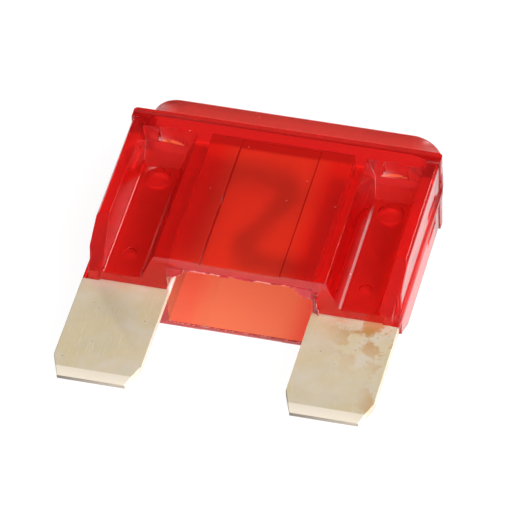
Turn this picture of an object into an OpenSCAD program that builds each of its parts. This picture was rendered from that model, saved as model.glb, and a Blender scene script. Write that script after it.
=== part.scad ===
// Large plug-in blade fuse, lying on its back.
// X runs across the two blades, Y along them (blade tips towards -Y), Z up out of the front face.
// Sizes are in millimetres.

/* [Blades] */
// Width of one blade
blade_w = 8.0; // [7:0.1:9.5]
// Thickness of the stamped metal
blade_t = 0.8; // [0.6:0.05:1.1]
// Length of the blade below the housing
blade_l = 12.1; // [9:0.1:16]
// Clear gap between the two blades
blade_gap = 13.2; // [12:0.1:16]
// How far the tip's corners are cut back across the blade
tip_inset = 0.9; // [0.4:0.1:2]
// How far the tip's corners are cut back along the blade
tip_cut_l = 2.4; // [1.2:0.1:4]
// Length of the coined lead-in at the tip
coin_l = 1.1; // [0.5:0.1:2]
// Depth of the coined lead-in on each face
coin_d = 0.22; // [0.1:0.01:0.28]

/* [Stems and link] */
// Width of the shoulder that the housing's side wall stands on
shoulder_w = 1.6; // [1.2:0.1:2]
// How far the stem reaches in past the blade's inner edge
stem_reach = 2.0; // [1:0.1:2.6]
// Height of the reach's lower edge above the shoulders
reach_y = 3.6; // [2.6:0.1:4.4]
// Cut-off on the stem's upper outer corner
stem_corner = 0.7; // [0.2:0.1:1.2]
// Width of the link where it leaves the stems
link_w = 2.0; // [1.4:0.1:2.4]
// Width of the link at its weak point
neck_w = 1.1; // [0.7:0.1:1.3]
// Radius of the link's two bends, at the middle of the strip
bend_r = 2.1; // [1.7:0.1:2.5]
// How far each bend's centre lies past the middle of the fuse
bend_offset = 0.8; // [0.3:0.1:1.2]

/* [Housing] */
// Thickness of the housing over its cap
body_t = 8.5; // [8:0.1:11]
// Height of the housing from the shoulders to the top of the cap
body_h = 18.7; // [17.5:0.1:24]
// Thickness of the cap plate
cap_t = 1.2; // [0.8:0.1:1.8]
// How far the cap stands out past the side rails
cap_overhang = 0.1; // [0.1:0.05:0.5]
// Radius of the cap's upper corners
cap_corner_r = 0.4; // [0.1:0.05:0.6]
// Plastic between the chamber and the top of the cap
roof_t = 1.5; // [1:0.1:2.5]
// Thickness of the front and back walls of the chamber
wall_t = 0.8; // [0.7:0.05:1.8]
// Thickness of the side walls, beside the stems
side_wall_t = 1.3; // [0.9:0.05:1.8]
// Room left round the stems
slot_clear = 0.1; // [0.05:0.01:0.2]
// Room left above the stems
top_clear = 0.3; // [0.1:0.05:0.6]

/* [Grip ridge] */
// Height of the ridge above the cap
ridge_h = 3.5; // [2:0.1:5]
// Thickness of the ridge
ridge_t = 5.6; // [4:0.1:7]
// How far the ridge stops short of the cap's end
ridge_inset = 0.75; // [0.3:0.05:2]
// Radius of the ridge's top edge
ridge_edge_r = 0.45; // [0.2:0.05:1]

/* [Centre block] */
// Room between a blade's inner edge and the chamber's side wall
mouth_clear = 0.1; // [0.05:0.05:0.6]
// Thickness of the block's side wall at its face
block_wall = 1.2; // [0.7:0.05:1.4]
// How far the block's side wall slopes out towards the window
block_slope = 1.25; // [0.6:0.05:1.4]
// How far the bevel at the block's lower end rises to its face
mouth_bevel = 0.25; // [0.1:0.05:1]
// Width of the shallow panel on the block's face, which runs out at the block's lower end
panel_w = 7.4; // [5:0.1:10]
// Depth of that panel
panel_d = 0.12; // [0.05:0.01:0.25]
// Border above that panel
panel_border = 0.9; // [0.5:0.1:2]

/* [Windows and rails] */
// Thickness of the window's floor
floor_t = 1.0; // [0.7:0.05:1.3]
// Width of a rail's face
rail_w = 1.2; // [0.9:0.05:1.6]
// How far a rail's inner wall slopes out towards the window
rail_slope = 0.55; // [0.2:0.05:0.7]
// How far a rail's face lies below the cap's
rail_drop = 0.2; // [0.1:0.05:0.6]
// Bevel along a rail's outer edge
rail_bevel = 0.25; // [0.1:0.05:0.5]
// Length of the ramp at the rail's lower end
ramp_l = 5.0; // [3:0.1:7]
// Height of the lip between the window and the cap
lip_h = 1.2; // [0.9:0.05:1.6]
// Draft of that lip
lip_draft = 0.25; // [0.1:0.05:0.4]
// Length of the sloped shelf below the lip
shelf_l = 2.0; // [1:0.1:3]
// Rise of that shelf above the window's floor
shelf_rise = 1.1; // [0.5:0.05:1.5]
// Width of the half-moon relief in the lip
moon_w = 2.7; // [1.5:0.1:3]
// Height of that relief
moon_h = 0.5; // [0.3:0.05:0.6]

/* [Stakes] */
// Hole near the stem's top
stake_top_d = 2.5; // [1.8:0.1:2.8]
// Hole near the stem's foot
stake_low_d = 1.4; // [1:0.1:2]
// How far the upper hole's centre lies below the shelf
stake_top_drop = 1.3; // [1.3:0.1:2.5]
// Height of the lower hole's centre above the shoulders
stake_low_y = 3.0; // [2:0.1:4]
// Room left round the plastic in each hole
stake_clear = 0.1; // [0.05:0.01:0.15]
// Depth of the dent left over each stake
stake_dent = 0.25; // [0.1:0.05:0.4]

/* [Side details] */
// Thickness of the rib along the parting line
rib_t = 0.6; // [0.4:0.05:1]
// How far that rib stands out of the side
rib_out = 0.2; // [0.1:0.05:0.35]
// Height of the relief at the side's lower end
relief_h = 2.0; // [1:0.1:3]
// Depth of that relief
relief_d = 0.35; // [0.2:0.05:0.6]
// Height of the groove in the side, above the blades' plane
groove_z = 1.6; // [1:0.1:2.5]
// Length of that groove
groove_l = 3.2; // [1:0.1:5]
// Width of that groove
groove_w = 0.6; // [0.2:0.05:0.9]
// Depth of that groove
groove_d = 0.3; // [0.1:0.05:0.5]
// How far the groove ends below the cap
groove_drop = 1.6; // [0.5:0.1:4]
// Width of the moulding gate's scar on the cap's end
gate_w = 3.0; // [1:0.1:4]
// Thickness of that scar
gate_t = 0.7; // [0.4:0.05:0.8]
// How far that scar stands out
gate_out = 0.1; // [0.05:0.01:0.25]
// Height of that scar above the blades' plane
gate_z = 1.3; // [0:0.1:2]

/* [Hidden] */
$fn = 64;
// Straight steps in each bend of the link
arc_steps = 20;
// Overlap that lets two solids fuse, or a cutter pass through a face
ease = 0.5;

// Places across the fuse, from its middle
x_blade_in = blade_gap / 2;
x_blade_out = x_blade_in + blade_w;
x_stem_in = x_blade_in - stem_reach;
x_stem_out = x_blade_out - shoulder_w;
x_slot = x_stem_out + slot_clear;
x_side = x_slot + side_wall_t;
x_cap = x_side + cap_overhang;
x_rib = x_side + rib_out;
x_ridge = x_cap - ridge_inset;
x_rail_face = x_side - rail_w;
x_rail_foot = x_rail_face - rail_slope;
x_chamber = x_blade_in + mouth_clear;
x_block_face = x_chamber + block_wall;
x_block_foot = x_block_face + block_slope;
x_window = (x_block_foot + x_rail_foot) / 2;
x_moon = (x_block_face + x_rail_face) / 2;

// Places along the fuse, from the blades' shoulders
y_cap = body_h - cap_t;
y_chamber = body_h - roof_t;
y_stem = y_chamber - top_clear;
y_lip = y_cap - lip_h;
y_shelf = y_lip - shelf_l;
y_stake_top = y_shelf - stake_top_drop;
y_stake_low = stake_low_y;
y_top = body_h + ridge_h;
y_run_top = y_stem - link_w / 2;
y_run_low = reach_y + link_w / 2;

// Heights, from the blades' middle plane
z_face = body_t / 2;
z_chamber = z_face - wall_t;
z_rail = z_face - rail_drop;
z_slot = blade_t / 2 + slot_clear;
z_floor = z_slot + floor_t;
z_shelf = z_floor + shelf_rise;

// The link's two bends are joined by the line that touches both between their centres
bend_top = [-bend_offset, y_run_top - bend_r];
bend_low = [bend_offset, y_run_low + bend_r];
bend_span = norm(bend_low - bend_top);
bend_line = atan2(bend_low.y - bend_top.y, bend_low.x - bend_top.x);
neck_lean = asin(2 * bend_r / bend_span);
neck_angle = bend_line - neck_lean;
neck_l = bend_span * cos(neck_lean);
bend_sweep = -neck_angle;
link_mid = (bend_top + bend_low) / 2;

// The fuse lies on its back with its middle over the origin
place = [0, (blade_l - y_top) / 2, z_face];

// Outline in Y and Z, pulled along X from x0 to x1
module along_x(x0, x1, outline) {
    translate([x0, 0, 0])
        rotate([90, 0, 90])
            linear_extrude(x1 - x0)
                polygon(outline);
}

// Outline in X and Z, pulled along Y from y0 to y1
module along_y(y0, y1, outline) {
    translate([0, y1, 0])
        rotate([90, 0, 0])
            linear_extrude(y1 - y0)
                polygon(outline);
}

// Box between two corners
module box(low, high) {
    translate(low)
        cube(high - low);
}

module both_sides() {
    children();
    mirror([1, 0, 0])
        children();
}

module both_faces() {
    children();
    mirror([0, 0, 1])
        children();
}

// Outline above the middle plane, closed by its mirror image below
function with_mirror(upper) = concat(
    upper,
    [for (i = [len(upper) - 1 : -1 : 0]) [upper[i].x, -upper[i].y]]
);

// Cap plate with round upper corners
module cap() {
    inner = x_cap - cap_corner_r;
    translate([0, 0, -z_face])
        linear_extrude(body_t) {
            translate([-x_cap, y_cap])
                square([2 * x_cap, cap_t - cap_corner_r]);
            translate([-inner, y_cap])
                square([2 * inner, cap_t]);
            for (side = [-1, 1])
                translate([side * inner, body_h - cap_corner_r])
                    circle(cap_corner_r);
        }
}

// Half of the ridge's section: its height runs along the second axis, and its foot is in the cap
module ridge_half() {
    half = ridge_t / 2;
    foot = cap_t / 2;
    translate([0, -foot]) {
        square([half, foot + ridge_h - ridge_edge_r]);
        square([half - ridge_edge_r, foot + ridge_h]);
    }
    translate([half - ridge_edge_r, ridge_h - ridge_edge_r])
        circle(ridge_edge_r);
}

// Grip ridge: a bar with round ends in plan and a rounded top edge
module ridge() {
    end = x_ridge - ridge_t / 2;
    translate([0, body_h, 0]) {
        for (side = [-1, 1])
            translate([side * end, 0, 0])
                rotate([-90, 0, 0])
                    rotate_extrude()
                        ridge_half();
        translate([-end, 0, 0])
            rotate([0, 90, 0])
                linear_extrude(2 * end) {
                    ridge_half();
                    mirror([1, 0])
                        ridge_half();
                }
    }
}

// Side rail with its ramp down to the window's floor
module rail() {
    section = [
        [x_side, z_rail - rail_bevel],
        [x_side - rail_bevel, z_rail],
        [x_rail_face, z_rail],
        [x_rail_foot, z_floor]
    ];
    ramp = [
        [0, z_floor],
        [ramp_l, z_rail],
        [y_cap + cap_t / 2, z_rail]
    ];
    intersection() {
        along_y(0, body_h, with_mirror(section));
        along_x(x_rail_foot, x_side, with_mirror(ramp));
    }
}

// Window floors, shelves and lips, in one web from rail to rail
module web() {
    upper = [
        [0, z_floor],
        [y_shelf, z_floor],
        [y_lip, z_shelf],
        [y_lip + lip_draft, z_face],
        [y_cap + cap_t / 2, z_face]
    ];
    along_x(-x_rail_face, x_rail_face, with_mirror(upper));
}

// Raised centre block round the chamber, bevelled at its lower end
module block() {
    section = [
        [-x_block_foot, z_floor],
        [-x_block_face, z_face],
        [x_block_face, z_face],
        [x_block_foot, z_floor]
    ];
    length = [
        [0, z_chamber],
        [mouth_bevel, z_face],
        [y_cap + cap_t / 2, z_face]
    ];
    intersection() {
        along_y(0, body_h, with_mirror(section));
        along_x(-x_block_foot, x_block_foot, with_mirror(length));
    }
}

// Rib along the parting line of the mould, and the gate's scar on the cap's end
module side_marks() {
    both_sides()
        box([x_slot, 0, -rib_t / 2], [x_rib, y_cap + cap_t / 2, rib_t / 2]);
    scar_r = (gate_w * gate_w / 4 + gate_out * gate_out) / (2 * gate_out);
    intersection() {
        translate([x_cap + gate_out - scar_r, y_cap + (cap_t - gate_t) / 2, gate_z])
            rotate([-90, 0, 0])
                cylinder(r = scar_r, h = gate_t);
        box(
            [x_cap - ease, y_cap, gate_z - gate_w / 2],
            [x_cap + gate_out, body_h, gate_z + gate_w / 2]
        );
    }
}

// Chamber round the link, and the slot for the stems, both open at the bottom
module hollow() {
    box([-x_chamber, -ease, -z_chamber], [x_chamber, y_chamber, z_chamber]);
    box([-x_slot, -ease, -z_slot], [x_slot, y_chamber, z_slot]);
}

// Half-moon relief in the lip over a window
module moon() {
    moon_r = (moon_w * moon_w / 4 + moon_h * moon_h) / (2 * moon_h);
    intersection() {
        translate([x_moon, y_lip + moon_h - moon_r, z_shelf])
            cylinder(r = moon_r, h = z_face);
        box([x_moon - moon_w, y_lip, z_shelf], [x_moon + moon_w, y_cap, z_face + ease]);
    }
}

// Relief at the side's lower end, and the short groove near its top
module side_cuts() {
    box([x_side - relief_d, -ease, rib_t / 2], [x_side + ease, relief_h, z_rail + ease]);
    groove_top = y_cap - groove_drop;
    box(
        [x_side - groove_d, groove_top - groove_l, groove_z - groove_w / 2],
        [x_side + ease, groove_top, groove_z + groove_w / 2]
    );
}

// Shallow panel on the block's face
module panel() {
    box(
        [-panel_w / 2, -ease, z_face - panel_d],
        [panel_w / 2, y_cap - panel_border, z_face + ease]
    );
}

// Children at the two stakes of one stem, each scaled by its own hole
module at_stakes() {
    for (stake = [[y_stake_top, stake_top_d], [y_stake_low, stake_low_d]])
        translate([x_window, stake.x, 0]) {
            $hole_d = stake.y;
            children();
        }
}

module stake_peg() {
    cylinder(d = $hole_d - 2 * stake_clear, h = 2 * (z_slot + floor_t / 4), center = true);
}

module stake_mark() {
    translate([0, 0, z_floor - stake_dent])
        cylinder(d = $hole_d - 2 * stake_clear, h = stake_dent + ease);
}

module housing() {
    color([0.86, 0.07, 0.06])
        translate(place) {
            difference() {
                union() {
                    cap();
                    ridge();
                    both_sides()
                        rail();
                    web();
                    block();
                    side_marks();
                }
                hollow();
                both_faces() {
                    panel();
                    both_sides() {
                        moon();
                        side_cuts();
                        at_stakes()
                            stake_mark();
                    }
                }
            }
            both_sides()
                at_stakes()
                    stake_peg();
        }
}

// Points round part of a circle
function arc(centre, radius, from, to) = [
    for (i = [0 : arc_steps])
        let (angle = from + (to - from) * i / arc_steps)
            centre + radius * [cos(angle), sin(angle)]
];

// Upper edge of the S, from the left stem's top to the right stem's foot
link_edge = concat(
    [[-x_stem_in, y_stem]],
    arc(bend_top, bend_r + link_w / 2, 90, 90 - bend_sweep),
    [link_mid + neck_w / 2 * [-sin(neck_angle), cos(neck_angle)]],
    arc(bend_low, bend_r - link_w / 2, 270 - bend_sweep, 270),
    [[x_stem_in, reach_y + link_w]]
);

// Lower edge of the S: the upper edge turned half round, which leads back to the left stem
link_return = [for (p = link_edge) 2 * link_mid - p];

// Right-hand stem and blade, from the stem's top corner down to the tip and up the inner edge
blade_edge = [
    [x_stem_out - stem_corner, y_stem],
    [x_stem_out, y_stem - stem_corner],
    [x_stem_out, 0],
    [x_blade_out, 0],
    [x_blade_out, tip_cut_l - blade_l],
    [x_blade_out - tip_inset, -blade_l],
    [x_blade_in + tip_inset, -blade_l],
    [x_blade_in, tip_cut_l - blade_l],
    [x_blade_in, reach_y]
];

// Left-hand stem and blade, back up to the stem's top corner
blade_return = [
    for (i = [len(blade_edge) - 1 : -1 : 0])
        [-blade_edge[i].x, blade_edge[i].y]
];

// The stamping's whole outline, flat
module element_outline() {
    polygon(concat(
        link_edge,
        [[x_stem_in, y_stem]],
        blade_edge,
        link_return,
        [[-x_stem_in, reach_y]],
        blade_return
    ));
}

// Wedge that coins one face of a tip
module coin() {
    along_x(x_blade_in - ease, x_blade_out + ease, [
        [coin_l - blade_l, blade_t / 2],
        [-blade_l, blade_t / 2 - coin_d],
        [-blade_l - ease, blade_t / 2 - coin_d],
        [-blade_l - ease, blade_t],
        [coin_l - blade_l, blade_t]
    ]);
}

module fuse_element() {
    color([0.78, 0.74, 0.66])
        translate(place)
            difference() {
                linear_extrude(blade_t, center = true)
                    element_outline();
                both_sides() {
                    both_faces()
                        coin();
                    at_stakes()
                        cylinder(d = $hole_d, h = 2 * blade_t, center = true);
                }
            }
}

housing();
fuse_element();
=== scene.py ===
# %% [markdown]
# # A large blade fuse
# A plug-in fuse has only two pieces: a clear red housing, moulded in one shot, and a flat stamping of
# zinc alloy that carries two blades and the S-shaped link which melts when the current is too high.
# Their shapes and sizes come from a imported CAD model. This lesson gives them soft edges, real
# surfaces, a table, light and a camera. Nothing that the CAD model says about size is changed here.

# %% Load the frame
import math

import bmesh
import bpy
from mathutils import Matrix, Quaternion, Vector


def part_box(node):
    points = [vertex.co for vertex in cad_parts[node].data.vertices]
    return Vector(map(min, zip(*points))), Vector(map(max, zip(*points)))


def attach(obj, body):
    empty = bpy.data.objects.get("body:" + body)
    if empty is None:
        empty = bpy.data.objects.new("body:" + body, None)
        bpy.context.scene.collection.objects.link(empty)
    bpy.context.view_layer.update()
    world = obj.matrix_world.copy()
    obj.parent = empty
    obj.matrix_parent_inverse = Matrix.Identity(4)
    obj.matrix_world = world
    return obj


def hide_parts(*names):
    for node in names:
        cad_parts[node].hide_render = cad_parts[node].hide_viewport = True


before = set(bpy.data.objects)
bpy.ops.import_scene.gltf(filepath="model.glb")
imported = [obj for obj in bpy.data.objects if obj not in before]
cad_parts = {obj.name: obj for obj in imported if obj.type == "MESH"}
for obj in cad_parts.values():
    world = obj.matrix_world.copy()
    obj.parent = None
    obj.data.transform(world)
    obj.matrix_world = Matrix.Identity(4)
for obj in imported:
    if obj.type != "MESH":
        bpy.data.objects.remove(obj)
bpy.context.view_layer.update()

MM = 0.001

# %% [markdown]
# ## Places that the pieces share
# The blades' flat middle plane and the line of their shoulders are the two natural references of this
# fuse. Both can be read off the boxes of the CAD nodes, so they are worked out and not typed in.
# The ridge, the cap, the hollow, the windows' lips with their half-moon reliefs and the block's shallow
# panel can't be read off a box, so their sizes are named here once.

# %% Read the reference planes
housing_low, housing_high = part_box("housing")
element_low, element_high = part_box("fuse_element")
mid_z = (element_low.z + element_high.z) / 2
shoulder_y = housing_low.y
tip_y = element_low.y
blade_outer_x = element_high.x
RIDGE_HEIGHT = 3.5 * MM
ridge_foot_y = housing_high.y - RIDGE_HEIGHT
CAP_THICKNESS = 1.2 * MM
cap_y = ridge_foot_y - CAP_THICKNESS

CHAMBER_HALF_X = 6.7 * MM
CHAMBER_HALF_Z = 3.45 * MM
CHAMBER_DEPTH = 17.2 * MM
SLOT_HALF_X = 13.1 * MM
SLOT_HALF_Z = 0.5 * MM
LIP_HEIGHT = 16.3 * MM
lip_y = shoulder_y + LIP_HEIGHT
SHELF_Z = 2.6 * MM
MOON_X = 10.55 * MM
MOON_HALF_X = 1.35 * MM
MOON_DEPTH = 0.5 * MM
PANEL_HEIGHT = 16.6 * MM
panel_y = shoulder_y + PANEL_HEIGHT
PANEL_HALF_X = 3.7 * MM
PANEL_Z = 4.13 * MM
# How far a point may lie off a plane and still count as on it
SKIN = 0.02 * MM
print("middle plane at", round(mid_z / MM, 2), "mm, shoulders at", round(shoulder_y / MM, 2), "mm")

# %% [markdown]
# ## Camera
# The photograph was taken from far away with a long lens, looking down at about 45 degrees and a little
# from the right. A camera is easiest to check when it is given the way a photographer would say it:
# what it aims at, how far it stands, from which side and how high, and how much it leans.

# %% Stand the camera
AIM = Vector((-0.22, 1.49, 4.25)) * MM
DISTANCE = 507.5 * MM
AZIMUTH = math.radians(15.38)
ELEVATION = math.radians(44.97)
LEAN = math.radians(-2.07)
FOCAL_LENGTH = 396.3
SENSOR_WIDTH = 36.0

towards_camera = Vector((
    math.sin(AZIMUTH) * math.cos(ELEVATION),
    -math.cos(AZIMUTH) * math.cos(ELEVATION),
    math.sin(ELEVATION),
))
camera_data = bpy.data.cameras.new("camera")
camera_data.lens = FOCAL_LENGTH
camera_data.sensor_width = SENSOR_WIDTH
camera = bpy.data.objects.new("camera", camera_data)
camera.rotation_mode = "QUATERNION"
camera.location = AIM + towards_camera * DISTANCE
camera.rotation_quaternion = (-towards_camera).to_track_quat("-Z", "Y") @ Quaternion((0, 0, 1), LEAN)
bpy.context.scene.collection.objects.link(camera)
bpy.context.scene.camera = camera
print("camera at", [round(x / MM, 1) for x in camera.location], "mm")

# %% [markdown]
# ## Helpers for node trees
# Materials are built from nodes in code. A few small helpers keep that readable: one adds a node and
# fills its sockets with values or links, and the others wrap the sums, blends and masks that are used most.

# %% Write the node helpers
BAND_SOFT = 0.03 * MM


def put(tree, kind, sockets=None, **settings):
    """Adds a node. Sockets are filled with a plain value, or linked where the value is a socket."""
    node = tree.nodes.new(kind)
    for name, value in settings.items():
        setattr(node, name, value)
    for name, value in (sockets or {}).items():
        if isinstance(value, bpy.types.NodeSocket):
            tree.links.new(value, node.inputs[name])
        else:
            node.inputs[name].default_value = value
    return node


def calculate(tree, operation, first, second=0.0):
    """One sum of two numbers or sockets."""
    return put(tree, "ShaderNodeMath", {0: first, 1: second}, operation=operation).outputs[0]


def blend(tree, share, first, second):
    """A colour between two colours."""
    node = put(tree, "ShaderNodeMix", {0: share, 6: first, 7: second}, data_type="RGBA")
    return node.outputs[2]


def step(tree, value, low, high):
    """0 below low, 1 above high, with a soft rise between them."""
    sockets = {"Value": value, "From Min": low, "From Max": high}
    return put(tree, "ShaderNodeMapRange", sockets, interpolation_type="SMOOTHSTEP").outputs[0]


def band(tree, value, low, high, soft=BAND_SOFT):
    """1 between low and high, 0 outside, with soft edges."""
    rise = step(tree, value, low - soft, low)
    return calculate(tree, "SUBTRACT", rise, step(tree, value, high, high + soft))


def product(tree, *shares):
    """Several masks or numbers multiplied, the first of them a socket."""
    result = shares[0]
    for share in shares[1:]:
        result = calculate(tree, "MULTIPLY", result, share)
    return result


def opposite(tree, share):
    """1 where the mask is 0, and 0 where it is 1."""
    return calculate(tree, "SUBTRACT", 1.0, share)


print("helpers:", [helper.__name__ for helper in (put, calculate, blend, step, band, product, opposite)])

# %% [markdown]
# ## The studio
# The fuse lies on a plain white table. The table glows for the camera, for reflections and for rays that
# come through the clear plastic, so that it reads as white without any more light on the fuse. A weak
# diffuse part on top of the glow takes a faint shadow. All other rays meet plain white paint.

# %% Lay the table
TABLE_HALF = 1.5
TABLE_DROP = 0.02 * MM
TABLE_GLOW = 1.0
SHADOW_ROOM = 0.06
TABLE_SHADE = 0.12
TABLE_WHITE = 0.85


def white(level):
    return (level, level, level, 1.0)


def table_material():
    material = bpy.data.materials.new("white_table")
    material.use_nodes = True
    tree = material.node_tree
    tree.nodes.clear()
    path = put(tree, "ShaderNodeLightPath")
    seen = calculate(tree, "MAXIMUM", path.outputs["Is Camera Ray"], path.outputs["Is Glossy Ray"])
    seen = calculate(tree, "MAXIMUM", seen, path.outputs["Is Transmission Ray"])
    room = calculate(tree, "MULTIPLY", path.outputs["Is Camera Ray"], SHADOW_ROOM)
    level = calculate(tree, "SUBTRACT", TABLE_GLOW, room)
    glow = put(tree, "ShaderNodeEmission", {"Color": white(1.0), "Strength": level})
    shade = put(tree, "ShaderNodeBsdfDiffuse", {"Color": white(TABLE_SHADE)})
    shown = put(tree, "ShaderNodeAddShader", {0: glow.outputs[0], 1: shade.outputs[0]})
    plain = put(tree, "ShaderNodeBsdfDiffuse", {"Color": white(TABLE_WHITE)})
    surface = put(tree, "ShaderNodeMixShader", {0: seen, 1: plain.outputs[0], 2: shown.outputs[0]})
    put(tree, "ShaderNodeOutputMaterial", {"Surface": surface.outputs[0]})
    return material


table_mesh = bpy.data.meshes.new("table")
corners = [(x * TABLE_HALF, y * TABLE_HALF, -TABLE_DROP) for x, y in ((-1, -1), (1, -1), (1, 1), (-1, 1))]
table_mesh.from_pydata(corners, [], [(0, 1, 2, 3)])
table_mesh.materials.append(table_material())
table = bpy.data.objects.new("table", table_mesh)
bpy.context.scene.collection.objects.link(table)
print("table", 2 * TABLE_HALF, "m wide")

# %% [markdown]
# ## Light
# Clear plastic shows the room more than it shows itself. The flat faces here mirror the upper back of the
# room towards the camera, the sloping shelves mirror the ceiling, and both look deep red, so those parts
# of the room are dim. Most light comes from one wide window at the front right, with a much weaker one
# opposite it and a glow along the horizon. A plain mirror image of the window on the outside is held back,
# or every wall that turns to it would look milky, and what is seen through the plastic is a white backdrop.

# %% Light the room
SIDE_WINDOW = Vector((0.72, -0.50, 0.48)).normalized()
WINDOW_RIM = 0.76
WINDOW_CORE = 0.94
WINDOW_BRIGHT = 11.5
FAR_WINDOW_SHARE = 0.06
MIRROR_SHARE = 0.15
ROOM_DIM = 0.06
HORIZON_BRIGHT = 0.25
HORIZON_LOW = 0.1
HORIZON_HIGH = 0.3
BACKDROP_WHITE = 1.0


def window_light(tree, direction):
    """The brightness of both windows in each direction of the room."""
    windows = 0.0
    for side, bright in ((1, WINDOW_BRIGHT), (-1, WINDOW_BRIGHT * FAR_WINDOW_SHARE)):
        centre = (side * SIDE_WINDOW.x, SIDE_WINDOW.y, SIDE_WINDOW.z)
        aimed = put(tree, "ShaderNodeVectorMath", {0: direction, 1: centre}, operation="DOT_PRODUCT")
        shape = step(tree, aimed.outputs["Value"], WINDOW_RIM, WINDOW_CORE)
        windows = calculate(tree, "MAXIMUM", calculate(tree, "MULTIPLY", shape, bright), windows)
    return windows


def light_room():
    world = bpy.data.worlds.new("studio")
    bpy.context.scene.world = world
    world.use_nodes = True
    tree = world.node_tree
    tree.nodes.clear()
    direction = put(tree, "ShaderNodeTexCoord").outputs["Generated"]
    axes = put(tree, "ShaderNodeSeparateXYZ", {0: direction}).outputs
    path = put(tree, "ShaderNodeLightPath").outputs
    softened = calculate(tree, "ADD", path["Diffuse Depth"], path["Transmission Depth"])
    mirrored = calculate(tree, "GREATER_THAN", path["Is Glossy Ray"], softened)
    hidden = calculate(tree, "MULTIPLY", mirrored, 1.0 - MIRROR_SHARE)
    windows = calculate(tree, "MULTIPLY", window_light(tree, direction), opposite(tree, hidden))
    below = opposite(tree, step(tree, axes["Z"], HORIZON_LOW, HORIZON_HIGH))
    horizon = calculate(tree, "MULTIPLY", below, HORIZON_BRIGHT)
    level = calculate(tree, "MAXIMUM", calculate(tree, "MAXIMUM", windows, horizon), ROOM_DIM)
    straight = opposite(tree, calculate(tree, "MINIMUM", path["Diffuse Depth"], 1.0))
    seen_through = calculate(tree, "MULTIPLY", path["Is Transmission Ray"], straight)
    level = put(tree, "ShaderNodeMix", {0: seen_through, 2: level, 3: BACKDROP_WHITE}).outputs[0]
    background = put(tree, "ShaderNodeBackground", {"Strength": level})
    put(tree, "ShaderNodeOutputWorld", {"Surface": background.outputs[0]})


light_room()
print("window towards", [round(x, 2) for x in SIDE_WINDOW])

# %% [markdown]
# ## Soft box
# A studio adds one narrow lamp behind a clear object to draw its edges. Here it stands behind on the right
# and draws thin light lines along the edges that turn to it. It is an area lamp and not a part of the room,
# because a lamp can be hidden from rays through the plastic, where its image would be a stray white line.

# %% Stand the soft box
BOX_DISTANCE = 500 * MM
BOX_TOWARDS = Vector((0.587, 0.68, 0.442)).normalized()
BOX_WIDTH = 280 * MM
BOX_HEIGHT = 70 * MM
BOX_POWER = 0.65

edge_light = bpy.data.lights.new("edge_light", "AREA")
edge_light.shape = "RECTANGLE"
edge_light.size = BOX_WIDTH
edge_light.size_y = BOX_HEIGHT
edge_light.energy = BOX_POWER
soft_box = bpy.data.objects.new("edge_light", edge_light)
soft_box.rotation_mode = "QUATERNION"
soft_box.location = AIM + BOX_TOWARDS * BOX_DISTANCE
soft_box.rotation_quaternion = (-BOX_TOWARDS).to_track_quat("-Z", "Y")
soft_box.visible_transmission = False
bpy.context.scene.collection.objects.link(soft_box)
print("soft box at", [round(x / MM) for x in soft_box.location], "mm")

# %% [markdown]
# ## Surface effects that the materials share
# Handling leaves fine straight scratches on plastic and on metal alike, both have a cloudy unevenness, and
# both have small round specks, which are dust on the plastic and pits in the metal. Each effect is a node
# group with named inputs, built once and placed in the materials that show it, each time with other values.
# A group gives out only a mask, and the material decides what the mask does.

# %% Build the shared groups
NOISE_MIDDLE = 0.5
PATCH_FULL = 0.75
SPECK_CORE = 0.5


def new_group(name, inputs):
    """An empty shader group with a Vector input, number inputs and one Mask output."""
    group = bpy.data.node_groups.new(name, "ShaderNodeTree")
    group.interface.new_socket("Vector", in_out="INPUT", socket_type="NodeSocketVector")
    for label, value in inputs.items():
        socket = group.interface.new_socket(label, in_out="INPUT", socket_type="NodeSocketFloat")
        socket.default_value = value
    group.interface.new_socket("Mask", in_out="OUTPUT", socket_type="NodeSocketFloat")
    return group, put(group, "NodeGroupInput").outputs


def scratch_group():
    """Long thin scratches: noise stretched along one axis, cut to narrow lines and thinned out."""
    sizes = {"Scale": 400.0, "Stretch": 14.0, "Width": 0.02, "Cover": 0.5}
    group, given = new_group("fine_scratches", sizes)
    across = calculate(group, "MULTIPLY", given["Scale"], given["Stretch"])
    scale = put(group, "ShaderNodeCombineXYZ", {0: across, 1: given["Scale"], 2: given["Scale"]})
    stretched = put(
        group, "ShaderNodeVectorMath", {0: given["Vector"], 1: scale.outputs[0]}, operation="MULTIPLY"
    )
    lines = put(group, "ShaderNodeTexNoise", {"Vector": stretched.outputs[0], "Scale": 1.0, "Detail": 1.0})
    off = calculate(group, "ABSOLUTE", calculate(group, "SUBTRACT", lines.outputs[0], NOISE_MIDDLE))
    line = opposite(group, step(group, off, 0.0, given["Width"]))
    patches = put(group, "ShaderNodeTexNoise", {"Vector": given["Vector"], "Scale": given["Scale"]})
    here = step(group, patches.outputs[0], opposite(group, given["Cover"]), PATCH_FULL)
    put(group, "NodeGroupOutput", {"Mask": product(group, line, here)})
    return group


def cloud_group():
    """Clouds of a set size and softness; a higher level leaves fewer of them."""
    group, given = new_group("clouds", {"Scale": 300.0, "Softness": 0.25, "Level": 0.5})
    sockets = {"Vector": given["Vector"], "Scale": given["Scale"], "Detail": 5.0, "Roughness": 0.55}
    cloud = put(group, "ShaderNodeTexNoise", sockets)
    low = calculate(group, "SUBTRACT", given["Level"], given["Softness"])
    high = calculate(group, "ADD", given["Level"], given["Softness"])
    put(group, "NodeGroupOutput", {"Mask": step(group, cloud.outputs[0], low, high)})
    return group


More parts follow.
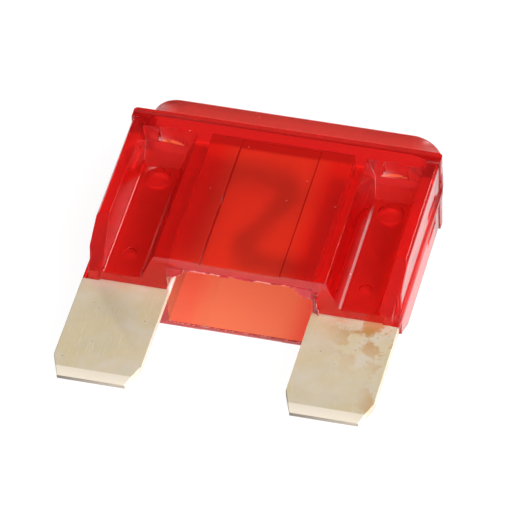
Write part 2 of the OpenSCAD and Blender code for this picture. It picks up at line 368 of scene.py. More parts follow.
def speck_group():
    """Small round specks, one in some cells of a random pattern."""
    group, given = new_group("specks", {"Scale": 500.0, "Size": 0.05, "Share": 0.5})
    cells = put(group, "ShaderNodeTexVoronoi", {"Vector": given["Vector"], "Scale": given["Scale"]}).outputs
    core = product(group, given["Size"], SPECK_CORE)
    speck = opposite(group, step(group, cells["Distance"], core, given["Size"]))
    drawn = put(group, "ShaderNodeSeparateColor", {0: cells["Color"]}).outputs[0]
    chosen = calculate(group, "LESS_THAN", drawn, given["Share"])
    put(group, "NodeGroupOutput", {"Mask": product(group, speck, chosen)})
    return group


scratches = scratch_group()
clouds = cloud_group()
specks = speck_group()


def place_group(tree, group, vector, **values):
    """Places a shared group in a material and gives its Mask."""
    node = put(tree, "ShaderNodeGroup", node_tree=group)
    tree.links.new(vector, node.inputs["Vector"])
    for name, value in values.items():
        node.inputs[name].default_value = value
    return node.outputs["Mask"]


def new_material(name):
    """An empty material, its tree and the piece's own coordinates."""
    material = bpy.data.materials.new(name)
    material.use_nodes = True
    tree = material.node_tree
    tree.nodes.clear()
    return material, tree, put(tree, "ShaderNodeTexCoord").outputs["Object"]


def face_mark(tree, name):
    """A number that the piece's faces or points carry."""
    return put(tree, "ShaderNodeAttribute", attribute_name=name).outputs["Fac"]


print("shared groups:", [group.name for group in bpy.data.node_groups])

# %% [markdown]
# ## Clear red plastic: where it differs
# The housing is tinted through and through, so a thin wall looks orange and a thick one deep red. A shader
# meets only the skin, so it has to be told which places are thick, thin or frosted. Some masks carry painted
# light instead: a lighter band along the top of the cap, the frosted ridge's paling toward its top, an
# orange glow on the half-moons' floors, and painted shade along the panel's step. A mask is drawn for each
# such place from the piece's own coordinates, which is enough because each lies between a few planes.

# %% Draw the masks of the housing's places
CREASE_WIDTH = 0.08 * MM
CREASE_DEPTH = 0.1 * MM
RIDGE_FADE = 0.5 * MM
RIM_FADE = (0.45 * MM, 0.85 * MM)
CAP_FADE = (-1.0 * MM, -0.5 * MM)
WALL_FADE = (0.3 * MM, 0.6 * MM)
BLOCK_FADE = (-3.5 * MM, -1.0 * MM)
MOON_SOFT = SKIN / 4


def fade(tree, value, level, rise):
    """Rises from 0 to 1 between two distances from a level."""
    return step(tree, value, level + rise[0], level + rise[1])


def housing_places(tree, axes, hazy):
    """One mask for each place whose tint differs."""
    sideways = calculate(tree, "ABSOLUTE", axes["X"])
    outward = calculate(tree, "ABSOLUTE", calculate(tree, "SUBTRACT", axes["Z"], mid_z))
    off_moon = calculate(tree, "ABSOLUTE", calculate(tree, "SUBTRACT", sideways, MOON_X))
    # the ridge pales toward its top: whitish frosting, with painted light in the rise toward the top
    up_ridge = step(tree, axes["Y"], ridge_foot_y - RIDGE_FADE, ridge_foot_y + RIDGE_HEIGHT)
    on_rim = fade(tree, axes["Y"], cap_y, RIM_FADE)
    past_lip = fade(tree, axes["Y"], lip_y, CAP_FADE)
    off_block = fade(tree, sideways, CHAMBER_HALF_X, BLOCK_FADE)
    return {
        "ridge": product(tree, up_ridge, hazy),
        # painted light: a lighter band along the top of the cap
        "rim": on_rim,
        "cap": calculate(tree, "SUBTRACT", past_lip, on_rim),
        "block wall": product(
            tree, fade(tree, outward, CHAMBER_HALF_Z, WALL_FADE), opposite(tree, off_block),
        ),
        # painted shade: a dark line along the panel's step
        "crease shade": product(
            tree,
            band(tree, sideways, PANEL_HALF_X - CREASE_WIDTH, PANEL_HALF_X + SKIN),
            step(tree, axes["Z"], mid_z + PANEL_Z - CREASE_DEPTH, mid_z + PANEL_Z),
            band(tree, axes["Y"], shoulder_y, panel_y),
        ),
        # painted light: an orange glow on the half-moons' floors
        "moon": product(
            tree,
            band(tree, off_moon, -MOON_X, MOON_HALF_X),
            band(tree, axes["Y"], lip_y + SKIN, lip_y + MOON_DEPTH),
            band(tree, outward, SHELF_Z - SKIN, SHELF_Z + MOON_SOFT, soft=MOON_SOFT),
        ),
    }


print("the moons' floors lie", SHELF_Z / MM, "mm off the middle plane")

# %% [markdown]
# ## Clear red plastic: the mix
# A volume that takes away green and blue would tint the plastic by its depth, but alone it makes the corners
# of a hollow shell too dark. So most of the tint sits in the skin, where every face that a ray crosses takes
# its share, and a weak volume adds the depth. The outside of the mould was polished and the core that made
# the hollow was not, so the inner walls are rough and blur what lies behind them. Specks of dust and fine
# rubbed lines are what handling has left.

# %% Mix the red plastic
PLASTIC_IOR = 1.57
PLASTIC_CLEAR = 0.9
RED_DEEP = (1.0, 0.020, 0.016, 1.0)
RED_FLOW = (1.0, 0.016, 0.014, 1.0)
RED_PALE = (1.0, 0.60, 0.27, 1.0)
# The ridge's tint: whitish frosting, with painted light in its paling toward the top
RED_FROST_AND_LIGHT = (1.0, 0.17, 0.14, 1.0)
# The cap's top band: painted light
RED_RIM_LIGHT = (1.0, 0.07, 0.06, 1.0)
RED_CAP = (0.56, 0.009, 0.010, 1.0)
RED_SIDE = (0.58, 0.007, 0.008, 1.0)
RED_WALL = (1.0, 0.064, 0.036, 1.0)
# The half-moons' floors: a painted orange glow
RED_MOON_GLOW = (1.0, 0.36, 0.13, 1.0)
# The panel's step: painted shade
RED_CREASE_SHADE = (0.40, 0.006, 0.008, 1.0)
RED_DUSTY = (1.0, 0.9, 0.85, 1.0)
ABSORB_COLOUR = (0.995, 0.6, 0.55, 1.0)
ABSORB_DENSITY = 300.0
POLISHED = 0.1
FLOW_ROUGHNESS = 0.04
RUBBED_ROUGHNESS = 0.1
DUST_ROUGHNESS = 0.3
CORE_ROUGHNESS = 0.38
HAZY_ROUGHNESS = 0.2
RIPPLE_SCALE = 500.0
RUBBED_DEPTH = 0.4
PLASTIC_BUMP = 0.05
BUMP_HEIGHT = 0.02 * MM


def red_plastic_material():
    material, tree, place = new_material("clear_red_plastic")
    axes = put(tree, "ShaderNodeSeparateXYZ", {0: place}).outputs
    inside, hazy, side = (face_mark(tree, name) for name in ("inside", "hazy", "side"))
    flow = place_group(tree, clouds, place, Scale=160.0, Softness=0.3)
    rubbed = place_group(tree, scratches, place, Scale=300.0, Stretch=12.0, Width=0.012, Cover=0.42)
    dust = place_group(tree, specks, place, Scale=500.0, Size=0.045, Share=0.8)
    places = housing_places(tree, axes, hazy)
    tint = blend(tree, flow, RED_DEEP, RED_FLOW)
    for share, colour in (
        (places["block wall"], RED_WALL),
        (places["rim"], RED_RIM_LIGHT),
        (places["cap"], RED_CAP),
        (side, RED_SIDE),
        (places["ridge"], RED_FROST_AND_LIGHT),
        (places["moon"], RED_MOON_GLOW),
        (places["crease shade"], RED_CREASE_SHADE),
        (inside, RED_PALE),
        (dust, RED_DUSTY),
    ):
        tint = blend(tree, share, tint, colour)
    roughness = POLISHED
    for share, amount in (
        (flow, FLOW_ROUGHNESS),
        (rubbed, RUBBED_ROUGHNESS),
        (dust, DUST_ROUGHNESS),
        (inside, CORE_ROUGHNESS),
        (hazy, HAZY_ROUGHNESS),
    ):
        roughness = calculate(tree, "ADD", roughness, calculate(tree, "MULTIPLY", share, amount))
    ripple = put(tree, "ShaderNodeTexNoise", {"Vector": place, "Scale": RIPPLE_SCALE, "Detail": 2.0})
    dug = calculate(tree, "MULTIPLY", rubbed, RUBBED_DEPTH)
    height = calculate(tree, "SUBTRACT", ripple.outputs[0], dug)
    bump = put(tree, "ShaderNodeBump", {"Strength": PLASTIC_BUMP, "Distance": BUMP_HEIGHT, "Height": height})
    surface = put(tree, "ShaderNodeBsdfPrincipled", {
        "Base Color": tint,
        "Roughness": roughness,
        "IOR": PLASTIC_IOR,
        "Transmission Weight": PLASTIC_CLEAR,
        "Normal": bump.outputs[0],
    })
    absorb = put(tree, "ShaderNodeVolumeAbsorption", {"Color": ABSORB_COLOUR, "Density": ABSORB_DENSITY})
    put(tree, "ShaderNodeOutputMaterial", {"Surface": surface.outputs[0], "Volume": absorb.outputs[0]})
    return material


red_plastic = red_plastic_material()
print("made", red_plastic.name)

# %% [markdown]
# ## Dull zinc: tarnish
# The right blade has brown spots of tarnish, thickest where it comes out of the housing and along its outer
# edge. Clouds with hard edges give the spots, and their middles are held back a little, as in a spot that
# dried from its edge. Soft ramps say how far the spots reach, so that the rest of the blade stays clean.

# %% Draw the tarnish
SPOT_OUTLINE = 1.8
TARNISH_LENGTH = 8 * MM
TARNISH_END = 1 * MM
TARNISH_FROM_X = 7 * MM
TARNISH_FULL = 2 * MM
TARNISH_STRENGTH = 1.3
MARGIN_WIDTH = 2.2 * MM
MARGIN_SHARE = 0.5


def tarnish_mask(tree, place, axes):
    """Outlined spots near the right blade's root and along its outer edge."""
    spots = place_group(tree, clouds, place, Scale=600.0, Softness=0.07, Level=0.53)
    outlined = calculate(tree, "MULTIPLY", spots, calculate(tree, "SUBTRACT", SPOT_OUTLINE, spots))
    near_root = step(tree, axes["Y"], shoulder_y - TARNISH_LENGTH, shoulder_y + TARNISH_END)
    right_side = step(tree, axes["X"], TARNISH_FROM_X, blade_outer_x - TARNISH_FULL)
    margin = step(tree, axes["X"], blade_outer_x - MARGIN_WIDTH, blade_outer_x)
    reach = product(tree, near_root, right_side)
    reach = calculate(tree, "MAXIMUM", reach, product(tree, margin, MARGIN_SHARE))
    return product(tree, outlined, reach, TARNISH_STRENGTH)


print("tarnish reaches", TARNISH_LENGTH / MM, "mm down the right blade")

# %% [markdown]
# ## Dull zinc: the mix
# The stamping is zinc alloy, which dulls in air: it is a warm grey with yellowish clouds and a few dark
# pits. A reddish band along the housing's edge is painted light, the red light that comes through the
# housing onto the blades, and fine pale lines run along the blades, such as a socket leaves. The coined tips
# are paler, the sheared edges are darker, and what the housing seals has stayed bright, apart from the link,
# which is painted dark as shade so that it reads dark through the plastic. Each of these is a mask with a
# colour, and they are laid over one another one by one.

# %% Mix the zinc
ZINC_GREY = (0.60, 0.525, 0.42, 1.0)
ZINC_OLIVE = (0.53, 0.45, 0.30, 1.0)
ZINC_BROWN = (0.44, 0.205, 0.035, 1.0)
ZINC_YELLOW = (0.60, 0.46, 0.22, 1.0)
ZINC_DARK = (0.16, 0.13, 0.10, 1.0)
# A red band at the housing's edge: painted red light from the housing on the blades
ZINC_PAINTED_RED_LIGHT = (0.70, 0.33, 0.26, 1.0)
ZINC_PALE = (0.78, 0.70, 0.59, 1.0)
ZINC_BRIGHT = (0.93, 0.89, 0.83, 1.0)
# The link: painted shade, so that it reads dark through the plastic
ZINC_LINK_SHADE = (0.42, 0.20, 0.18, 1.0)
ZINC_CUT = (0.44, 0.40, 0.36, 1.0)
YELLOW_SHARE = 0.3
PIT_SHARE = 0.6
RED_LIGHT_SHARE = 0.45
COINED_SHARE = 0.8
LINE_SHARE = 0.35
CUT_SHARE = 0.5
TIP_SHARE = 0.75
RED_LIGHT_LENGTH = 1.3 * MM
COINED_LENGTH = 1.1 * MM
COINED_EDGE = 0.1 * MM
TIP_LINE = 0.08 * MM
SEAL_LENGTH = 0.4 * MM
LINK_EDGE = 0.3 * MM
ZINC_METALLIC = 0.25
ZINC_ROUGHNESS = 0.42
CLOUD_ROUGHNESS = 0.12
GRAIN_SCALE = 2500.0
ZINC_BUMP = 0.25


def zinc_material():
    material, tree, place = new_material("dull_zinc")
    axes = put(tree, "ShaderNodeSeparateXYZ", {0: place}).outputs
    cloudy = place_group(tree, clouds, place, Scale=260.0, Softness=0.2)
    yellow = place_group(tree, clouds, place, Scale=420.0, Softness=0.1)
    patchy = place_group(tree, clouds, place, Scale=600.0, Softness=0.3)
    pitted = place_group(tree, specks, place, Scale=900.0, Size=0.085, Share=0.8)
    lines = place_group(tree, scratches, place, Scale=260.0, Stretch=16.0, Width=0.03, Cover=0.6)
    # where painted red light from the housing falls on the blades
    at_edge = step(tree, axes["Y"], shoulder_y - RED_LIGHT_LENGTH, shoulder_y)
    coined_y = tip_y + COINED_LENGTH
    coined = opposite(tree, step(tree, axes["Y"], coined_y - COINED_EDGE, coined_y))
    tip_end = opposite(tree, step(tree, axes["Y"], tip_y + SKIN, tip_y + TIP_LINE))
    sealed = step(tree, axes["Y"], shoulder_y, shoulder_y + SEAL_LENGTH)
    sideways = calculate(tree, "ABSOLUTE", axes["X"])
    in_chamber = opposite(tree, step(tree, sideways, CHAMBER_HALF_X - LINK_EDGE, CHAMBER_HALF_X))
    colour = blend(tree, cloudy, ZINC_GREY, ZINC_OLIVE)
    for share, laid in (
        (product(tree, yellow, YELLOW_SHARE), ZINC_YELLOW),
        (tarnish_mask(tree, place, axes), ZINC_BROWN),
        (product(tree, pitted, PIT_SHARE), ZINC_DARK),
        # painted red light from the housing
        (product(tree, at_edge, patchy, RED_LIGHT_SHARE), ZINC_PAINTED_RED_LIGHT),
        (product(tree, coined, COINED_SHARE), ZINC_PALE),
        (product(tree, lines, LINE_SHARE), ZINC_PALE),
        (product(tree, face_mark(tree, "cut"), CUT_SHARE), ZINC_CUT),
        (product(tree, tip_end, TIP_SHARE), ZINC_DARK),
        (sealed, ZINC_BRIGHT),
        # the link painted dark as shade
        (product(tree, sealed, in_chamber), ZINC_LINK_SHADE),
    ):
        colour = blend(tree, share, colour, laid)
    roughness = calculate(tree, "ADD", ZINC_ROUGHNESS, product(tree, cloudy, CLOUD_ROUGHNESS))
    grain = put(tree, "ShaderNodeTexNoise", {"Vector": place, "Scale": GRAIN_SCALE, "Detail": 3.0})
    height = calculate(tree, "SUBTRACT", grain.outputs[0], lines)
    bump = put(tree, "ShaderNodeBump", {"Strength": ZINC_BUMP, "Distance": BUMP_HEIGHT, "Height": height})
    surface = put(tree, "ShaderNodeBsdfPrincipled", {
        "Base Color": colour,
        "Metallic": ZINC_METALLIC,
        "Roughness": roughness,
        "Normal": bump.outputs[0],
    })
    put(tree, "ShaderNodeOutputMaterial", {"Surface": surface.outputs[0]})
    return material


zinc = zinc_material()
print("made", zinc.name)

# %% [markdown]
# ## Finishing a CAD mesh
# A CAD mesh has knife edges, and real parts don't: their edges are rounded by about a tenth of a
# millimetre, and that is where the light catches. A modifier could round all edges alike, but many here are
# short or beside thin faces and have no room for it, so the edges are chosen in code. A copy of the CAD
# mesh is cleaned to flat faces, its long edges are bevelled, and its normals are weighted so that flats
# stay flat.

# %% Write the finishing helpers
WINDOW_FROM_X = 7.9 * MM
RAIL_FROM_X = 12.9 * MM
RAIL_FACE_Z = 4.05 * MM
LONG_EDGE = 0.6 * MM
THIN_FACE = 0.25 * MM
MERGE = 0.002 * MM
FLAT = math.radians(0.5)
SHARP = math.radians(25)
SHADE_SHARP = math.radians(50)
ROUND_PROFILE = 0.5
# A face whose mark is above this counts as marked
MARKED = 0.5


def clean_copy(node_name):
    """The CAD node's mesh, merged and with its flat stretches joined to single faces."""
    mesh = bmesh.new()
    mesh.from_mesh(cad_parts[node_name].data)
    bmesh.ops.remove_doubles(mesh, verts=mesh.verts, dist=MERGE)
    bmesh.ops.dissolve_limit(mesh, angle_limit=FLAT, verts=mesh.verts, edges=mesh.edges)
    return mesh


def is_soft(point):
    """True for a point on the upper edge of the lip over a window, or round the ridge's foot."""
    depth = abs(point.z - mid_z)
    on_lip = WINDOW_FROM_X < abs(point.x) < RAIL_FROM_X and abs(point.y - lip_y) < MOON_DEPTH
    return abs(point.y - ridge_foot_y) < SKIN or (on_lip and depth > RAIL_FACE_Z)


def takes_bevel(edge):
    """True for a long sharp edge between faces that are wide enough, away from the soft ones."""
    if not edge.is_manifold or edge.calc_length() < LONG_EDGE or edge.calc_face_angle() < SHARP:
        return False
    if is_soft((edge.verts[0].co + edge.verts[1].co) / 2):
        return False
    return min(face.calc_area() for face in edge.link_faces) / edge.calc_length() > THIN_FACE


def round_edges(mesh, edges, radius, segments=2):
    """Rounds the edges, or chamfers them with one segment, and gives the new faces."""
    made = bmesh.ops.bevel(
        mesh, geom=edges, offset=radius, offset_type="OFFSET", segments=segments,
        profile=ROUND_PROFILE, affect="EDGES", clamp_overlap=False, loop_slide=True,
    )
    return made["faces"]


def keep_flat(data, mark):
    """Makes the edges round the marked faces sharp, so that these faces are shaded flat."""
    values = data.attributes[mark].data
    for polygon in data.polygons:
        if values[polygon.index].value > MARKED:
            for loop in polygon.loop_indices:
                data.edges[data.loops[loop].edge_index].use_edge_sharp = True


def finished_piece(name, mesh, material, node_name):
    """Turns the edited mesh into a piece that stands for the CAD node."""
    data = bpy.data.meshes.new(name)
    mesh.to_mesh(data)
    mesh.free()
    data.materials.append(material)
    data.shade_smooth()
    data.set_sharp_from_angle(angle=SHADE_SHARP)
    if "chamfer" in data.attributes:
        keep_flat(data, "chamfer")
    piece = bpy.data.objects.new(name, data)
    bpy.context.scene.collection.objects.link(piece)
    weighted = piece.modifiers.new("weighted_normals", "WEIGHTED_NORMAL")
    weighted.keep_sharp = True
    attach(piece, "root")
    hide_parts(node_name)
    print(name, len(data.polygons), "faces")


print("edges longer than", LONG_EDGE / MM, "mm may be rounded")

# %% [markdown]
# ## Housing: kinds of face
# Three kinds of face look different on this moulding. The hollow was left rough by the core. The level
# faces beside the block and on the cap, the lips and shelves, the rails' feet, the ribs and the ridge are
# slightly hazy. The block's sloping sides are a deep red. Each face gets a number for each kind, which the
# material reads as an attribute: unlike a mask drawn from coordinates, it tells two faces apart that meet
# at the same place.

# %% Mark the faces of the housing
SIDE_X = 14.4 * MM
RAIL_FOOT_LENGTH = 7 * MM
SHELF_LENGTH = 2 * MM
LEVEL = 0.95
STEEP = 0.7
HALF_TURNED = 0.5
LEANS_DOWN = -0.1


def is_inside(face):
    """True for a face of the hollow."""
    point = face.calc_center_median()
    if point.y < shoulder_y + SKIN or point.y > shoulder_y + CHAMBER_DEPTH + SKIN:
        return False
    x, depth = abs(point.x), abs(point.z - mid_z)
    in_chamber = x < CHAMBER_HALF_X + SKIN and depth < CHAMBER_HALF_Z + SKIN
    in_slot = x < SLOT_HALF_X + SKIN and depth < SLOT_HALF_Z + SKIN
    return in_chamber or (in_slot and abs(face.normal.y) < HALF_TURNED)


def is_hazy(face):
    """True for level faces off the block, lips, shelves, rail feet, ribs and ridge, but no moon's floor."""
    point = face.calc_center_median()
    x, depth = abs(point.x), abs(point.z - mid_z)
    off_moon = abs(depth - SHELF_Z) > SKIN
    beside_block = x > WINDOW_FROM_X and depth > SLOT_HALF_Z + SKIN
    level = abs(face.normal.z) > LEVEL and off_moon and (beside_block or point.y > cap_y)
    near_lip = -MOON_DEPTH < lip_y - point.y < SHELF_LENGTH
    shelf = near_lip and beside_block and off_moon and abs(face.normal.x) < HALF_TURNED
    rail_end = x > RAIL_FROM_X and point.y < shoulder_y + RAIL_FOOT_LENGTH
    rail_foot = rail_end and face.normal.y < LEANS_DOWN
    rib = x > SIDE_X + SKIN and point.y < cap_y
    ridge = point.y > ridge_foot_y - SKIN
    return level or shelf or rail_foot or rib or ridge


def is_side(face):
    """True for a sloping side wall of the centre block."""
    point = face.calc_center_median()
    beside_block = WINDOW_FROM_X - SKIN < abs(point.x) < MOON_X
    return beside_block and abs(face.normal.x) > STEEP and point.y < lip_y


housing_mesh = clean_copy("housing")
for name, holds in {"inside": is_inside, "hazy": is_hazy, "side": is_side}.items():
    layer = housing_mesh.faces.layers.float.new(name)
    for face in housing_mesh.faces:
        face[layer] = float(holds(face))
    print(name, int(sum(face[layer] for face in housing_mesh.faces)), "faces")

# %% [markdown]
# ## Housing: edges
# Thin light lines run along the feet of the windows' walls. They are caught by a rounding of the rails'
# feet and by a small flat chamfer at the block's feet, so both are real faces here. All other long edges
# get a fine rounding. That leaves long narrow strips, which are cut near their ends, so that what happens
# to the shading at an end doesn't spread along the whole strip.

# %% Round the edges of the housing
WINDOW_FLOOR_Z = 1.5 * MM
EDGE_ROUND = 0.08 * MM
FOOT_ROUND = 0.25 * MM
FOOT_CHAMFER = 0.15 * MM
END_STRIP = 0.6 * MM
LONG_STRIP = 4 * MM


def window_feet(mesh, low_x, high_x):
    """The long edges where a wall at such an x comes down to a window's floor."""
    feet = []
    for edge in mesh.edges:
        first, second = (v.co for v in edge.verts)
        on_floor = all(abs(abs(point.z - mid_z) - WINDOW_FLOOR_Z) < SKIN for point in (first, second))
        upright = abs(first.x - second.x) < SKIN and edge.calc_length() > LONG_EDGE
        if on_floor and upright and low_x < abs(first.x) < high_x:
            feet.append(edge)
    return feet


def cut_strips(mesh, y):
    """Cuts the long narrow faces at one y, so that their shading is even from there on."""
    strips = []
    for face in mesh.faces:
        length = max(v.co.y for v in face.verts) - min(v.co.y for v in face.verts)
        if length > LONG_STRIP and face.calc_area() / length < EDGE_ROUND:
            strips.append(face)
    edges = {edge for face in strips for edge in face.edges}
    verts = {vert for face in strips for vert in face.verts}
    bmesh.ops.bisect_plane(
        mesh, geom=[*verts, *edges, *strips], plane_co=(0, y, 0), plane_no=(0, 1, 0), dist=MERGE / 10,
    )
    print("cut", len(strips), "strips at", round(y / MM, 2), "mm")


hazy_layer = housing_mesh.faces.layers.float["hazy"]
side_layer = housing_mesh.faces.layers.float["side"]
chamfer_layer = housing_mesh.faces.layers.float.new("chamfer")
rail_feet = window_feet(housing_mesh, MOON_X, RAIL_FROM_X)
for face in round_edges(housing_mesh, rail_feet, FOOT_ROUND):
    face[hazy_layer] = 0.0
block_feet = window_feet(housing_mesh, WINDOW_FROM_X, MOON_X)
for face in round_edges(housing_mesh, block_feet, FOOT_CHAMFER, segments=1):
    face[hazy_layer] = 1.0
    face[side_layer] = 1.0
    face[chamfer_layer] = 1.0
crisp = [
    edge for edge in housing_mesh.edges
    if takes_bevel(edge) and not any(face[chamfer_layer] for face in edge.link_faces)
]
round_edges(housing_mesh, crisp, EDGE_ROUND)
for y in (shoulder_y + END_STRIP, lip_y - SHELF_LENGTH - END_STRIP):
    cut_strips(housing_mesh, y)
finished_piece("red_housing", housing_mesh, red_plastic, "housing")

# %% [markdown]
# ## Fuse element
# The blades are sheared from sheet, so their edges are crisp but not sharp enough to cut. Only the part
# outside the housing gets the small bevel, because the rest is seen through plastic at best. The faces that
# the shear made are marked, because they are darker than the rolled ones.

# %% Finish the element
BLADE_ROUND = 0.06 * MM
UPRIGHT = 0.3

element_mesh = clean_copy("fuse_element")
cut_layer = element_mesh.faces.layers.float.new("cut")
for face in element_mesh.faces:
    face[cut_layer] = float(abs(face.normal.z) < UPRIGHT)
outer_edges = [
    edge for edge in element_mesh.edges
    if takes_bevel(edge) and max(v.co.y for v in edge.verts) < shoulder_y + SKIN
]
round_edges(element_mesh, outer_edges, BLADE_ROUND)
finished_piece("zinc_element", element_mesh, zinc, "fuse_element")

# %% [markdown]
# ## Flash at the mouth: the rule
# Where the mould closes on the core, a little plastic squeezes out and sets as a thin torn film. It runs
# along the mouth's edges and is widest in the corners, and its torn rim scatters light and looks white.
# A film that follows an edge is a rule with a few sizes, so Geometry Nodes grow it: a grid is bent to the
# edge, its free side is torn by noise, and it is given a thickness.

# %% Write the rules of a torn film
WAVE_SCALE = 0.9
WAVE_RISE = (0.3, 0.75)
TEAR_SCALE = 4.0
TEAR_GAIN = 2.4
LEAST_WIDTH = 0.1
WEB_SHARE = 0.75
WEB_TEAR = 0.5


def scaled(tree, vector, factor):
    sockets = {0: vector, "Scale": factor}
    return put(tree, "ShaderNodeVectorMath", sockets, operation="SCALE").outputs[0]


def added(tree, first, second):
    return put(tree, "ShaderNodeVectorMath", {0: first, 1: second}, operation="ADD").outputs[0]


def weld_corner(tree, distance, corner_length):
    """The outline of a quarter disc: 1 at the corner, 0 from the corner length on."""
    share = calculate(tree, "DIVIDE", distance, corner_length)
    rest = opposite(tree, calculate(tree, "MULTIPLY", share, share))
    return calculate(tree, "SQRT", calculate(tree, "MAXIMUM", rest, 0.0))


def film_width(tree, given, distance, wave, tear):
    """How wide the film is at a distance along the edge: torn in the middle, with a web in each corner."""
    ragged = product(tree, step(tree, wave, *WAVE_RISE), product(tree, tear, TEAR_GAIN))
    middle = product(tree, given["Width"], calculate(tree, "ADD", ragged, LEAST_WIDTH))
    from_end = calculate(tree, "SUBTRACT", given["Length"], distance)
    first_web = weld_corner(tree, distance, given["Corner Length"])
    last_web = weld_corner(tree, from_end, given["Corner Length"])
    web = calculate(tree, "MAXIMUM", first_web, last_web)
    torn = calculate(tree, "ADD", WEB_SHARE, product(tree, tear, WEB_TEAR))
    return calculate(tree, "MAXIMUM", middle, product(tree, web, torn, given["Corner Width"]))


print("a film is torn every", round(1 / TEAR_SCALE, 2), "mm or so")

# %% [markdown]
# ## Flash at the mouth: the tree
# The tree has named inputs for where a film starts, which way it runs, grows and curls, and how large it is.
# It also notes how near each point lies to the torn rim, as an attribute that the material reads. A sheet
# and its raised copy are joined to one closed skin, because clear plastic needs an inside and an outside.

# %% Build the tree that grows a film along an edge
GRID_HALF = 0.5
FILM_POINTS = 160
FILM_ROWS = 8
FILM_MERGE = 0.0005 * MM
RIM_WIDTH = 0.07 * MM
CURL_GAIN = 2.0
FILM_VECTORS = ("Start", "Along", "Out", "Fold")
FILM_SIZES = ("Length", "Width", "Corner Width", "Corner Length", "Curl", "Thickness", "Seed")


def new_film_tree():
    """An empty tree with the film's named inputs."""
    tree = bpy.data.node_groups.new("torn_film", "GeometryNodeTree")
    tree.is_modifier = True
    tree.interface.new_socket("Geometry", in_out="INPUT", socket_type="NodeSocketGeometry")
    for name in FILM_VECTORS:
        tree.interface.new_socket(name, in_out="INPUT", socket_type="NodeSocketVector")
    for name in FILM_SIZES:
        tree.interface.new_socket(name, in_out="INPUT", socket_type="NodeSocketFloat")
    tree.interface.new_socket("Material", in_out="INPUT", socket_type="NodeSocketMaterial")
    tree.interface.new_socket("Geometry", in_out="OUTPUT", socket_type="NodeSocketGeometry")
    return tree, put(tree, "NodeGroupInput").outputs


def closed_skin(tree, sheet, thickness):
    """The sheet, its raised copy and the walls between them."""
    raised = put(tree, "GeometryNodeExtrudeMesh", {
        "Mesh": sheet, "Offset Scale": thickness, "Individual": False,
    }).outputs[0]
    under = put(tree, "GeometryNodeFlipFaces", {"Mesh": sheet}).outputs[0]
    both = put(tree, "GeometryNodeJoinGeometry")
    tree.links.new(raised, both.inputs[0])
    tree.links.new(under, both.inputs[0])
    sockets = {"Geometry": both.outputs[0], "Distance": FILM_MERGE}
    return put(tree, "GeometryNodeMergeByDistance", sockets).outputs[0]


def film_tree():
    tree, given = new_film_tree()
    grid = put(tree, "GeometryNodeMeshGrid", {
        "Size X": 2 * GRID_HALF, "Size Y": 2 * GRID_HALF, "Vertices X": FILM_POINTS, "Vertices Y": FILM_ROWS,
    })
    place = put(tree, "ShaderNodeSeparateXYZ", {0: put(tree, "GeometryNodeInputPosition").outputs[0]})
    along = calculate(tree, "ADD", place.outputs["X"], GRID_HALF)
    left = calculate(tree, "SUBTRACT", GRID_HALF, place.outputs["Y"])
    across = opposite(tree, calculate(tree, "MULTIPLY", left, left))

    distance = calculate(tree, "MULTIPLY", along, given["Length"])
    in_mm = calculate(tree, "DIVIDE", distance, MM)
    spot = put(tree, "ShaderNodeCombineXYZ", {"X": in_mm, "Y": given["Seed"]}).outputs[0]
    wave = put(tree, "ShaderNodeTexNoise", {"Vector": spot, "Scale": WAVE_SCALE, "Detail": 1.0}).outputs[0]
    tear = put(tree, "ShaderNodeTexNoise", {"Vector": spot, "Scale": TEAR_SCALE, "Detail": 3.0}).outputs[0]
    width = film_width(tree, given, distance, wave, tear)

    bend = product(tree, across, across, given["Curl"], product(tree, wave, CURL_GAIN))
    point = added(tree, given["Start"], scaled(tree, given["Along"], distance))
    point = added(tree, point, scaled(tree, given["Out"], product(tree, across, width)))
    point = added(tree, point, scaled(tree, given["Fold"], bend))

    to_rim = product(tree, opposite(tree, across), width)
    rim = opposite(tree, step(tree, to_rim, 0.0, RIM_WIDTH))
    noted = put(tree, "GeometryNodeStoreNamedAttribute", {
        "Geometry": grid.outputs["Mesh"], "Name": "rim", "Value": rim,
    }, data_type="FLOAT", domain="POINT")
    sockets = {"Geometry": noted.outputs[0], "Position": point}
    sheet = put(tree, "GeometryNodeSetPosition", sockets).outputs[0]
    film = closed_skin(tree, sheet, given["Thickness"])
    plain = put(tree, "GeometryNodeRealizeInstances", {"Geometry": film})
    sockets = {"Geometry": plain.outputs[0], "Material": given["Material"]}
    dressed = put(tree, "GeometryNodeSetMaterial", sockets)
    put(tree, "NodeGroupOutput", {"Geometry": dressed.outputs[0]})
    return tree


torn_film = film_tree()
print("film tree with", len(torn_film.nodes), "nodes")

# %% [markdown]
# ## Flash at the mouth: the film's plastic
# The film is red plastic too, but its torn rim is full of small cracks and looks pinkish white. The cracks
# are fine clouds, broken into dashes by coarser ones, and their white shows only near the rim.

# %% Mix the film's plastic
FILM_RED = (0.66, 0.030, 0.045, 1.0)
FILM_DEEP = (0.52, 0.018, 0.028, 1.0)
FILM_WHITE = (1.0, 0.62, 0.60, 1.0)
FILM_CLEAR = 0.6
FILM_ROUGHNESS = 0.2
RIM_ROUGHNESS = 0.4
LEAST_WHITE = 0.1


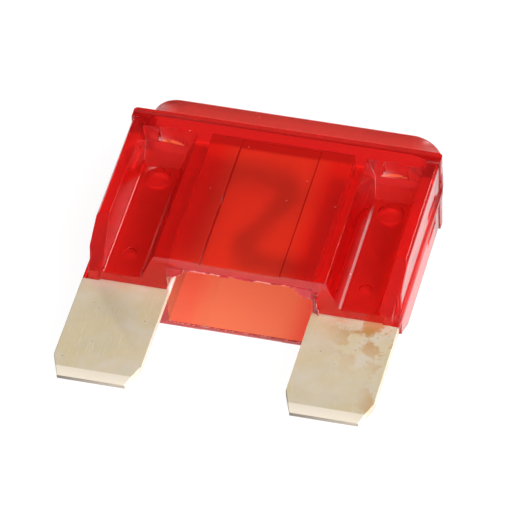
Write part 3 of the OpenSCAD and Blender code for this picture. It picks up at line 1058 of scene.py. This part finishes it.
def film_material():
    material, tree, place = new_material("torn_flash")
    cracked = place_group(tree, clouds, place, Scale=4000.0, Softness=0.2)
    dashes = place_group(tree, clouds, place, Scale=1000.0, Softness=0.05)
    broken = calculate(tree, "ADD", LEAST_WHITE, product(tree, cracked, dashes))
    white_rim = product(tree, face_mark(tree, "rim"), broken)
    colour = blend(tree, cracked, FILM_RED, FILM_DEEP)
    surface = put(tree, "ShaderNodeBsdfPrincipled", {
        "Base Color": blend(tree, white_rim, colour, FILM_WHITE),
        "Roughness": calculate(tree, "ADD", FILM_ROUGHNESS, product(tree, white_rim, RIM_ROUGHNESS)),
        "IOR": PLASTIC_IOR,
        "Transmission Weight": FILM_CLEAR,
    })
    put(tree, "ShaderNodeOutputMaterial", {"Surface": surface.outputs[0]})
    return material


flash = film_material()
print("made", flash.name)

# %% [markdown]
# ## Flash at the mouth: the films
# The front edge has a wide web in both corners, the back edge only a low fringe, and so has the left wall.
# On the right a strip has been folded back on the end of the block. Each film is grown by the same tree
# with its own sizes and seed, and all of them are joined to one piece, because they are one plastic.

# %% Grow the films
FILM_THICKNESS = 0.04 * MM
FILM_ROOT = 0.02 * MM
STRIP_OFFSET = 0.1 * MM
STRIP_DROP = 0.4 * MM
FRINGE_DROP = 1.0 * MM
UP = Vector((0, 0, 1))
DOWN = Vector((0, 0, -1))
RIGHT = Vector((1, 0, 0))
OUTWARD = Vector((0, -1, 0))
left_x = -CHAMBER_HALF_X - FILM_ROOT
right_x = CHAMBER_HALF_X + FILM_ROOT
front_z = mid_z + CHAMBER_HALF_Z + FILM_ROOT
back_z = mid_z - CHAMBER_HALF_Z - FILM_ROOT
FILMS = {
    "front edge": dict(
        start=(left_x, shoulder_y, front_z), along=RIGHT, out=DOWN, length=right_x - left_x,
        width=0.10 * MM, curl=0.10 * MM, web_width=1.25 * MM, web_length=1.6 * MM, seed=3.0,
    ),
    "back edge": dict(
        start=(left_x, shoulder_y, back_z), along=RIGHT, out=UP, length=right_x - left_x,
        width=0.12 * MM, curl=0.12 * MM, web_width=0.25 * MM, web_length=0.6 * MM, seed=8.0,
    ),
    "folded strip": dict(
        start=(CHAMBER_HALF_X + STRIP_OFFSET, shoulder_y - FILM_ROOT, front_z - STRIP_DROP),
        along=DOWN, out=RIGHT, length=2.5 * MM,
        width=0.6 * MM, curl=0.25 * MM, web_width=0.1 * MM, web_length=0.3 * MM, seed=5.0,
    ),
    "left fringe": dict(
        start=(left_x, shoulder_y, front_z - FRINGE_DROP), along=DOWN, out=RIGHT, length=1.6 * MM,
        width=0.16 * MM, curl=0.10 * MM, web_width=0.1 * MM, web_length=0.3 * MM, seed=6.0,
    ),
}


def grown_film(start, along, out, length, width, curl, web_width, web_length, seed):
    """Runs the tree once and gives the finished film as a plain mesh."""
    given = {
        "Start": start, "Along": along, "Out": out, "Fold": OUTWARD, "Length": length, "Width": width,
        "Corner Width": web_width, "Corner Length": web_length, "Curl": curl,
        "Thickness": FILM_THICKNESS, "Seed": seed, "Material": flash,
    }
    carrier = bpy.data.objects.new("film", bpy.data.meshes.new("film"))
    bpy.context.scene.collection.objects.link(carrier)
    modifier = carrier.modifiers.new("torn_film", "NODES")
    modifier.node_group = torn_film
    for item in torn_film.interface.items_tree:
        if item.in_out == "INPUT" and item.name in given:
            modifier[item.identifier] = given[item.name]
    evaluated = carrier.evaluated_get(bpy.context.evaluated_depsgraph_get())
    film = bpy.data.meshes.new_from_object(evaluated)
    bpy.data.objects.remove(carrier)
    return film


flash_mesh = bmesh.new()
for label, sizes in FILMS.items():
    film = grown_film(**sizes)
    flash_mesh.from_mesh(film)
    print(label, len(film.polygons), "faces")
bmesh.ops.recalc_face_normals(flash_mesh, faces=flash_mesh.faces)
mouth_flash_data = bpy.data.meshes.new("mouth_flash")
flash_mesh.to_mesh(mouth_flash_data)
flash_mesh.free()
mouth_flash_data.materials.append(flash)
mouth_flash_data.shade_smooth()
mouth_flash = bpy.data.objects.new("mouth_flash", mouth_flash_data)
bpy.context.scene.collection.objects.link(mouth_flash)
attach(mouth_flash, "root")

# %% [markdown]
# ## The view
# The colours are shown as they are written, with the Standard view.

# %% Set the view
bpy.context.scene.view_settings.view_transform = "Standard"
